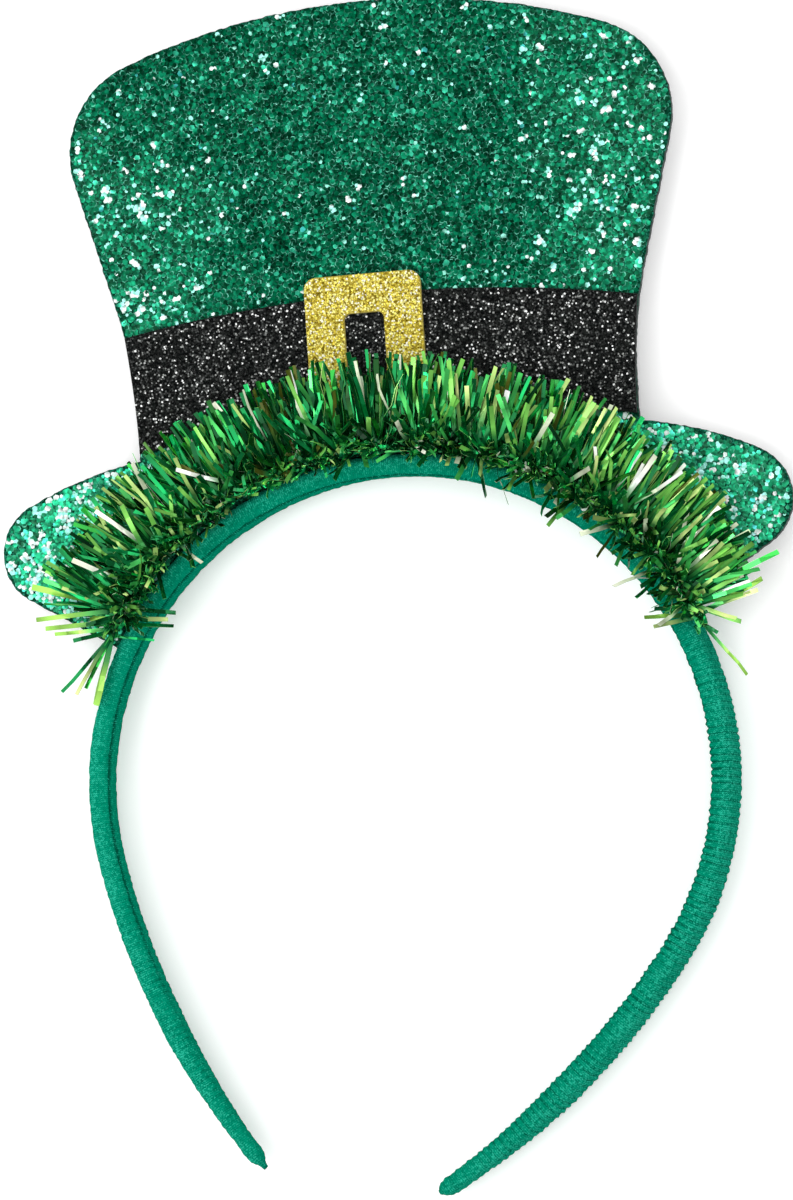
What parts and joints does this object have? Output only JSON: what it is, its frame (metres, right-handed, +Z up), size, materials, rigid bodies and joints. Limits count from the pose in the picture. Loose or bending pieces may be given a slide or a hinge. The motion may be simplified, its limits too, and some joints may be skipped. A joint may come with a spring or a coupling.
{
  "type": "mini hat headband",
  "caption": "Fabric-covered headband with a flat glitter top hat leaning to one side, a dark hat band with a gold buckle, and a tinsel fringe round the hat's foot.",
  "frame": {"origin": "middle of the headband's back edge at the top of the band, on the surface that it lies on", "axes": "+Y from the tips to the top of the band along the band's own middle line, +Z up, out of the hat's face, +X to the right as the face is seen"},
  "size_m": [0.1669, 0.252, 0.0243],
  "materials": {
    "knit_fabric": "fine ribbed knit, teal green",
    "green_glitter": "chunky hexagonal glitter flakes, green, on a felt backing",
    "black_glitter": "fine glitter, black with white sparkle, on a felt backing",
    "gold_glitter": "fine glitter, gold, on a felt backing",
    "tinsel_foil": "shiny metallic foil strips, dark green to lime"
  },
  "bodies": {
    "root": {"headband": "knit_fabric", "hat_panel": "green_glitter", "hat_band": "black_glitter", "buckle": "gold_glitter", "tinsel_garland": "tinsel_foil"}
  },
  "joints": []
}
